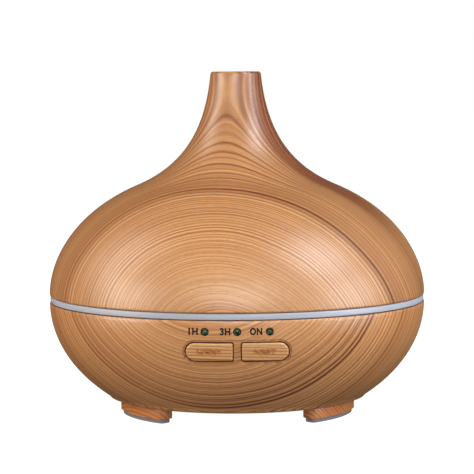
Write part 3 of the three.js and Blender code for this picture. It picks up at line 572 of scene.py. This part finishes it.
# ---------- cover ----------
def build_cover():
    """The wood-grain cover with its rolled mouth."""
    lip = 1.3
    mouth = [(MOUTH_R, HEIGHT - 3), (MOUTH_R, HEIGHT - 0.8)]
    mouth += arc((MOUTH_R + 0.8, HEIGHT - 0.8), 0.8, 180, 90, 6)[1:]
    mouth += arc((SPOUT_R - lip, HEIGHT - lip), lip, 90, 8, 8)
    outer = COVER[1:]
    edge = arc((BODY_R - 0.7, SEAM_HIGH + 0.7), 0.7, 0, -90, 6)
    inner = offset(outer, WALL)[::-1]
    inner = [p for p in inner if p[1] < HEIGHT - 6]
    rim = [(BODY_R - WALL - 0.3, SEAM_HIGH), (BODY_R - WALL, SEAM_HIGH + 0.4)]
    throat = [(GUIDE["tube"] + 0.45, HEIGHT - 5), (GUIDE["tube"] + 0.45, HEIGHT - 3)]
    vertices, faces = revolve(mouth + outer + edge + rim + inner + throat, even(240))
    piece("cover_shell", vertices, faces, "cover", COVER_WOOD, ("top_cover",))


def build_guide():
    """The white mist guide's smooth dome and tube, with the three seats its screws sit in."""
    inner = offset(GUIDE_OUTLINE, GUIDE["wall"])[::-1]
    tube, wall, skirt, bottom = (GUIDE[k] for k in ("tube", "wall", "skirt", "bottom"))
    top = [(tube - wall, HEIGHT - 2.4), (tube - wall + 0.2, HEIGHT - 2.2), (tube - 0.2, HEIGHT - 2.2)]
    foot = [(skirt, bottom + 0.4), (skirt - 0.3, bottom), (skirt - 1.2, bottom), (skirt - wall, bottom + 0.4)]
    vertices, faces = revolve(top + GUIDE_OUTLINE + foot + inner, even(160))
    for azimuth in THIRDS:
        seat_x, seat_y = at_azimuth(GUIDE["seats"], azimuth)
        cup, sides = revolve([(3.1, 70.5), (4.6, 71.2), (4.6, 86), (3.1, 86)], even(32))
        start = len(vertices)
        vertices += [(seat_x + x, seat_y + y, z) for x, y, z in cup]
        faces += [tuple(start + i for i in face) for face in sides]
    piece("guide_shell", vertices, faces, "cover", WHITE, ("mist_guide",), 35)


# ---------- tank with the light ring ----------
def build_tank():
    """The milky tank: bowl, collar and flange, with the air chimney standing in it."""
    inner = bezier_chain([(18, 24.5), (44, 25.5), (60, 25), (62.2, 40)], 24)
    outer = offset(inner, TANK_WALL)[::-1]
    bead = 0.6
    collar = [(COLLAR_R - TANK_WALL, COLLAR_TOP - 1), (COLLAR_R - TANK_WALL + 0.4, COLLAR_TOP)]
    collar += [(COLLAR_R - 0.4, COLLAR_TOP), (COLLAR_R, COLLAR_TOP - 0.5), (COLLAR_R, SEAM_HIGH + 0.6)]
    collar += [(COLLAR_R + 0.6, SEAM_HIGH - 0.2)]
    flange = arc((FLANGE_R - bead, SEAM_HIGH - 0.2 - bead), bead, 90, 0, 6)
    flange += arc((FLANGE_R - bead, SEAM_LOW + 0.2 + bead), bead, 0, -90, 6)
    under = [(COLLAR_R + 1, SEAM_LOW + 0.2)]
    pocket = [(18.5, 22.4), (16, 20.6), (16, 16.8), (12.4, 16.8), (12.4, 19.8)]
    well = [(8.2, 19.8), (8.2, 21.2), (8.6, 21.6), (14.5, 21.6)]
    outline = well + inner + collar + flange + under + outer[:-1] + pocket
    vertices, faces = revolve(outline, even(240))
    piece("tank_bowl", vertices, faces, "base", MILKY, ("water_tank",), 40)

    depth, width, wall, bottom, top = (CHIMNEY[k] for k in ("depth", "width", "wall", "bottom", "top"))
    outside = rounded_rectangle(depth, width, 4)
    inside = rounded_rectangle(depth - 2 * wall, width - 2 * wall, 2.4)
    count = len(outside)
    levels = [(outside, bottom, 0), (outside, top - 0.4, 0), (outside, top, -0.35), (inside, top, 0.35)]
    levels += [(inside, top - 0.4, 0), (inside, bottom, 0)]
    vertices = []
    for shape, z, grow in levels:
        vertices += [(x + math.copysign(grow, x), y + math.copysign(grow, y), z) for x, y in shape]
    vertices = [(x + CHIMNEY["at"], y, z) for x, y, z in vertices]
    faces = []
    for level in range(len(levels)):
        low, high = level * count, (level + 1) % len(levels) * count
        faces += [(low + i, low + (i + 1) % count, high + (i + 1) % count, high + i) for i in range(count)]
    vertices = turned_about_z(vertices, CHIMNEY["turn"])
    piece("tank_chimney", vertices, faces, "base", MILKY, ("air_chimney",), 40)


def rounded_rectangle(width, height, radius, steps=8):
    """Outline in X and Y of a rectangle with rounded corners."""
    w, h = width / 2 - radius, height / 2 - radius
    corners = ((w, h, 0), (-w, h, 90), (-w, -h, 180), (w, -h, 270))
    return [p for x, y, start in corners for p in arc((x, y), radius, start, start + 90, steps)]


# ---------- lower housing ----------
def build_housing():
    """The lower housing: a turned shell on a grid that is fine where the panel and socket are let in."""
    fine = np.radians(17.5)
    front = np.linspace(-fine, fine, 320)
    rear = np.pi + np.radians(np.linspace(-7, 7, 64))
    sides = np.linspace(fine, rear[0], 92)[1:-1]
    azimuths = np.concatenate([front, sides, rear, 2 * np.pi - sides[::-1]])

    heights = np.concatenate([
        [SEAM_LOW - 0.5], np.linspace(47, 30.2, 110), np.linspace(28.5, 25, 3),
        np.linspace(24.2, 11.8, 44), np.linspace(10.5, 6.4, 6),
    ])
    outer = [(float(housing_radius(z)), float(z)) for z in heights]
    top = [(BODY_R - WALL + 0.2, SEAM_LOW), (BODY_R - 0.6, SEAM_LOW), (BODY_R - 0.15, SEAM_LOW - 0.15)]
    foot = [(56.2, UNDERSIDE + 0.2), (55.4, UNDERSIDE), (53.7, UNDERSIDE), (53.7, 8), (52.2, 8), (52.2, 9.5)]
    inner = [p for p in offset(HOUSING, WALL)[::-4] if p[1] > 10.5]
    outline = top + outer + foot + [(57.5, 9.5)] + inner
    vertices, faces = revolve(outline, azimuths)

    points = np.array(vertices)
    x, y, z = points.T
    skin = np.zeros(len(outline), bool)
    skin[len(top) : len(top) + len(outer)] = True
    skin = np.tile(skin, len(azimuths))
    ahead = skin & (y < 0)
    behind = skin & (y > 0)
    panel = RECESS["depth"] * step_down(recess_distance(x, z), RECESS["step"])
    panel = panel + HOLE["depth"] * step_down(hole_distance(x, z) + 0.1, HOLE["step"])
    points[ahead, 1] += panel[ahead]
    edge = np.hypot(x, z - SOCKET["z"]) - SOCKET["radius"] + 0.15
    socket = SOCKET["depth"] * step_down(edge, SOCKET["step"])
    points[behind, 1] -= np.minimum(socket, np.maximum(y - SOCKET["floor"], 0))[behind]

    def open_face(face):
        cx, cy, cz = points[list(face)].mean(0)
        if cy < 0:
            return hole_distance(np.array(cx), np.array(cz)) < -0.45
        return math.hypot(cx, cz - SOCKET["z"]) < SOCKET["radius"] - 0.6

    kept = [face for face in faces if not open_face(face)]
    piece("housing_shell", points.tolist(), kept, "base", HOUSING_WOOD,
          ("lower_housing",), 60)


def build_button(name, side, word, word_width):
    """One push button: a grid over its outline, crowned with the housing and rolled at the edge."""
    pitch = 0.15
    reach_x, reach_z = 10.6, 4.2
    middle = side * (BUTTON["inner"] + BUTTON["outer"]) / 2
    centre_z = (BUTTON["low"] + BUTTON["high"]) / 2
    across = np.arange(-reach_x, reach_x + 0.01, pitch) + middle
    up = np.arange(-reach_z, reach_z + 0.01, pitch) + centre_z
    x, z = np.meshgrid(across, up, indexing="ij")
    away = button_distance(x, z, side)
    small = 0.01
    gx = (button_distance(x + small, z, side) - away) / small
    gz = (button_distance(x, z + small, side) - away) / small
    beyond = np.maximum(away, 0)
    x, z = x - beyond * gx, z - beyond * gz
    vertices = [(px, panel_depth(px, pz, side), pz) for px, pz in zip(x.flat, z.flat)]
    rows = len(up)
    inside = away < 0.02
    faces = []
    for i in range(len(across) - 1):
        for j in range(rows - 1):
            if inside[i : i + 2, j : j + 2].any():
                faces.append((i * rows + j, (i + 1) * rows + j, (i + 1) * rows + j + 1, i * rows + j + 1))

    mesh = bpy.data.meshes.new(name)
    mesh.from_pydata([Vector(v) * MM for v in vertices], [], faces)
    shape = bmesh.new()
    shape.from_mesh(mesh)
    loose = [v for v in shape.verts if not v.link_faces]
    bmesh.ops.delete(shape, geom=loose, context="VERTS")
    bmesh.ops.remove_doubles(shape, verts=shape.verts, dist=0.02 * MM)
    border = [e for e in shape.edges if e.is_boundary]
    sides = bmesh.ops.extrude_edge_only(shape, edges=border)["geom"]
    for vertex in (v for v in sides if isinstance(v, bmesh.types.BMVert)):
        vertex.co.y = BUTTON["back"] * MM
    bmesh.ops.holes_fill(shape, edges=[e for e in shape.edges if e.is_boundary])
    shape.to_mesh(mesh)
    shape.free()
    body = f"{name.split('_')[0]}_button"
    finished(name, mesh, body, BUTTON_WOOD, (body,), 50)
    text = lettering(f"{name}_word", word, WORDS["size"], word_width, (middle, centre_z),
                     WORDS["thick"], lambda px, pz: panel_depth(px, pz, side))
    finished(f"{name}_word", text, body, FOOT_WOOD)


def panel_depth(x, z, side):
    """Y of a button's face: proud of the housing, falling away round its edge."""
    roll = 0.8
    depth = np.clip(-button_distance(np.array(x), np.array(z), side), 0, roll)
    fall = roll - math.sqrt(max(roll**2 - (roll - float(depth)) ** 2, 0))
    radius = float(housing_radius(z)) + BUTTON["proud"] - fall
    return -math.sqrt(radius**2 - x**2)


def lettering(name, words, size, width, centre, thick, face):
    """Letters laid on a front face, squeezed or spread to a width and standing out by thick."""
    curve = bpy.data.curves.new(name, "FONT")
    curve.body = words
    curve.size = size
    curve.align_x = "CENTER"
    curve.align_y = "CENTER"
    curve.offset = size * 0.04  # a little bolder than the font
    curve.space_character = 1.08
    curve.extrude = thick / 2
    curve.resolution_u = 6
    holder = bpy.data.objects.new(name + "_curve", curve)
    bpy.context.scene.collection.objects.link(holder)
    bpy.context.view_layer.update()
    evaluated = holder.evaluated_get(bpy.context.evaluated_depsgraph_get())
    mesh = bpy.data.meshes.new_from_object(evaluated)
    bpy.data.objects.remove(holder)
    mesh.materials.clear()
    sunk = 0.1
    across = [vertex.co.x for vertex in mesh.vertices]
    left, spread = min(across), width / (max(across) - min(across))
    for vertex in mesh.vertices:
        px, pz = centre[0] + (vertex.co.x - left) * spread - width / 2, centre[1] + vertex.co.y
        out = thick if vertex.co.z > 0 else -sunk
        vertex.co = Vector((px, face(px, pz) - out, pz)) * MM
    return mesh


def build_labels():
    """Hour marks printed beside the indicators."""

    def skin(x, z):
        return -math.sqrt(float(housing_radius(z)) ** 2 - x**2)

    marks = (("one", "1H", -18.2, 3.9), ("three", "3H", -4.95, 4.3), ("on", "ON", 7.8, 5.1))
    for name, words, x, width in marks:
        mesh = lettering(
            f"label_{name}", words, MARKS["size"], width, (x, EYES["z"]), MARKS["thick"], skin
        )
        finished(f"label_{name}", mesh, "base", INK)


def build_indicator(name, x, glow):
    """A small green lens in a dark rim."""
    depth = math.sqrt(float(housing_radius(EYES["z"])) ** 2 - x**2)
    set_in = 0.25
    lens = [(0, 0.15), (0.5, 0.12), (0.85, 0.02), (0.95, -0.1), (0.95, -1.6), (0, -1.6)]
    rim = [(0.95, 0.1), (1.1, 0.22), (1.35, 0.2), (1.5, 0.0), (1.5, -3), (0.95, -3)]
    for part, outline, material in (("lens", lens, glow), ("rim", rim, LENS_RIM)):
        vertices, faces = revolve(outline, even(40))
        placed = [(x + vx, -depth + set_in - out, EYES["z"] + vy) for vx, vy, out in vertices]
        stands_for = (f"indicator_{name}",) if part == "lens" else ()
        piece(f"indicator_{part}_{name}", placed, faces, "base", material, stands_for, 40)


def lens_material():
    """Dark green epoxy, paler in the middle where the chip's cup shows."""
    tree = Tree("indicator_green")
    *_, point = tree.place()
    cloudy = tree.noise(point, 1.1, 2.0)
    shade = tree.mix(tree.ramp(cloudy, (0.42, 0.0), (0.62, 1.0)), srgb(14, 42, 16), srgb(56, 98, 48))
    rough = tree.add(0.12, tree.times(cloudy, 0.1))
    return tree.surface(Base_Color=shade, Roughness=rough, Coat_Weight=0.2)


# ---------- feet ----------
def build_feet():
    """Three curved feet, each on its rubber pad."""
    foot = sector(FOOT["inner"], FOOT["outer"], FOOT["half_span"], FOOT["corner"])
    pad = sector(PAD["inner"], PAD["outer"], PAD["half_span"], PAD["corner"])
    foot_levels = [(0.35, 1.85 - LIFT), (0.1, 1.95 - LIFT), (0, 2.2 - LIFT), (0, 5.5)]
    pad_levels = [(0.4, -LIFT), (0.12, 0.1 - LIFT), (0, 0.35 - LIFT), (0, PAD["thick"] - LIFT)]
    for azimuth, side in zip(THIRDS, ("left", "right", "rear")):
        for name, outline, levels, slot, look in (
            ("foot", foot, foot_levels, "wood_grain_plastic", FOOT_WOOD),
            ("foot_pad", pad, pad_levels, "rubber_pad", PAD_RUBBER),
        ):
            vertices, faces = stack(outline, levels)
            placed = turned_about_z(vertices, azimuth)
            piece(f"{name}_shape_{side}", placed, faces, "base", look, (f"{name}_{side}",), 40)


# ---------- what stays from the solid model ----------
CAD_LOOKS = {
    "white_plastic": WHITE,
    "black_plastic": BLACK,
    "rubber_pad": PAD_RUBBER,
    "silicone": SILICONE,
    "steel": STEEL,
    "piezo_ceramic": CERAMIC,
    "circuit_board": BOARD,
    "led_lens": LEDS,
    "copper_winding": COPPER,
    "cable_jacket": CABLES,
    "translucent_plastic": MILKY,
    "wood_grain_plastic": HOUSING_WOOD,
    "green_lens": LENS_RIM,
}


def dress_cad_nodes():
    """Gives every node of the solid model the look of its material slot."""
    slots = {part["node"]: part["material_slot"] for part in frame["record"]["subparts"]}
    for name, node in frame["nodes"].items():
        node.data.materials.clear()
        node.data.materials.append(CAD_LOOKS[slots[name]])


# ---------- stage ----------
def build_stage():
    """A floor that looks white, left out of reflections and bounced light, the world and the lights."""
    reach = 6
    mesh = bpy.data.meshes.new("floor")
    corners = [(-reach, -reach, 0), (reach, -reach, 0), (reach, reach, 0), (-reach, reach, 0)]
    mesh.from_pydata(corners, [], [(0, 1, 2, 3)])
    floor = bpy.data.objects.new("floor", mesh)
    bpy.context.scene.collection.objects.link(floor)
    tree = Tree("floor_paint")
    *_, point = tree.place()
    tone = tree.mix(tree.noise(point, 0.01), (0.3, 0.3, 0.3, 1), (0.32, 0.32, 0.32, 1))
    mesh.materials.append(tree.surface(
        Base_Color=tone, Roughness=0.9, Specular_IOR_Level=0.0,
        Emission_Color=(1, 1, 1, 1), Emission_Strength=1.0,
    ))

    floor.visible_diffuse = False
    floor.visible_glossy = False

    build_world()
    warm, white, cool = (1.02, 0.96, 0.88), (1, 1, 1), (0.98, 1.04, 1.1)
    softbox("key_left", -88, 37, 1.4, (0.6, 0.9), 6.8, warm)
    softbox("key_right", 66, 45, 1.4, (0.6, 0.8), 12, cool)
    softbox("low_left", -70, 6, 1.4, (0.8, 0.8), 13, warm)
    softbox("low_right", 70, 6, 1.4, (0.8, 0.8), 12, cool)
    softbox("front", 0, 13, 1.8, (1.2, 0.8), 15.4, white)
    bpy.context.scene.view_settings.view_transform = "Standard"


def build_world():
    """Plain white behind the object. The object itself sees a soft sky over a pale floor, dim behind it
    and dimmer still in reflections, so that its edges stay crisp."""
    world = bpy.data.worlds.new("studio")
    world.use_nodes = True
    nodes, links = world.node_tree.nodes, world.node_tree.links
    direction = nodes.new("ShaderNodeSeparateXYZ")
    links.new(nodes.new("ShaderNodeTexCoord").outputs["Generated"], direction.inputs[0])
    path = nodes.new("ShaderNodeLightPath").outputs

    def ranged(value, low, high, at_low, at_high):
        node = nodes.new("ShaderNodeMapRange")
        for name, number in (("From Min", low), ("From Max", high), ("To Min", at_low), ("To Max", at_high)):
            node.inputs[name].default_value = number
        links.new(value, node.inputs["Value"])
        return node.outputs[0]

    def product(a, b):
        node = nodes.new("ShaderNodeMath")
        node.operation = "MULTIPLY"
        links.new(a, node.inputs[0])
        links.new(b, node.inputs[1])
        return node.outputs[0]

    by_height = ranged(direction.outputs["Z"], -0.5, 0.5, 0.31, 0.21)
    by_depth = ranged(direction.outputs["Y"], -0.3, 0.7, 1.0, 0.35)
    in_gloss = ranged(path["Is Glossy Ray"], 0, 1, 1.0, 0.25)
    seen = nodes.new("ShaderNodeMix")
    links.new(path["Is Camera Ray"], seen.inputs["Factor"])
    links.new(product(product(by_height, by_depth), in_gloss), seen.inputs["A"])
    seen.inputs["B"].default_value = 1.0
    links.new(seen.outputs[0], nodes["Background"].inputs["Strength"])
    nodes["Background"].inputs["Color"].default_value = (1, 1, 1, 1)
    bpy.context.scene.world = world


def softbox(name, azimuth, elevation, distance, size, power, tone):
    """A soft light of a tone aimed at the object's middle, from an azimuth and elevation in degrees."""
    turn, rise = math.radians(azimuth), math.radians(elevation)
    aim = Vector((0, 0, 0.07))
    away = Vector((math.sin(turn) * math.cos(rise), -math.cos(turn) * math.cos(rise), math.sin(rise)))
    light = bpy.data.lights.new(name, "AREA")
    light.shape = "RECTANGLE"
    light.color = tone
    light.size, light.size_y = size
    light.energy = power
    made = bpy.data.objects.new(name, light)
    made.location = aim + away * distance
    made.rotation_euler = away.to_track_quat("Z", "Y").to_euler()
    bpy.context.scene.collection.objects.link(made)


def build_camera():
    """The camera whose view fits the ellipses of the photo's light ring and feet."""
    camera = bpy.data.cameras.new("camera")
    camera.sensor_width = 36
    camera.lens = 164.73
    camera.clip_start = 0.05
    made = bpy.data.objects.new("camera", camera)
    made.location = (0.00017, -0.97188, 0.15462)
    pitch = Matrix.Rotation(math.radians(90 - 4.507), 3, "X")
    roll = Matrix.Rotation(math.radians(-0.35), 3, "Z")
    made.rotation_euler = (pitch @ roll).to_euler()
    bpy.context.scene.collection.objects.link(made)
    bpy.context.scene.camera = made


build_cover()
build_guide()
build_tank()
build_housing()
build_button("light_button_face", -1, "LIGHT", 10.5)
build_button("mist_button_face", 1, "MIST", 9)
build_labels()
green = lens_material()
for index, hours in enumerate(("one_hour", "three_hour", "continuous")):
    build_indicator(hours, (index - 1) * EYES["pitch"], green)
build_feet()
dress_cad_nodes()
build_stage()
build_camera()
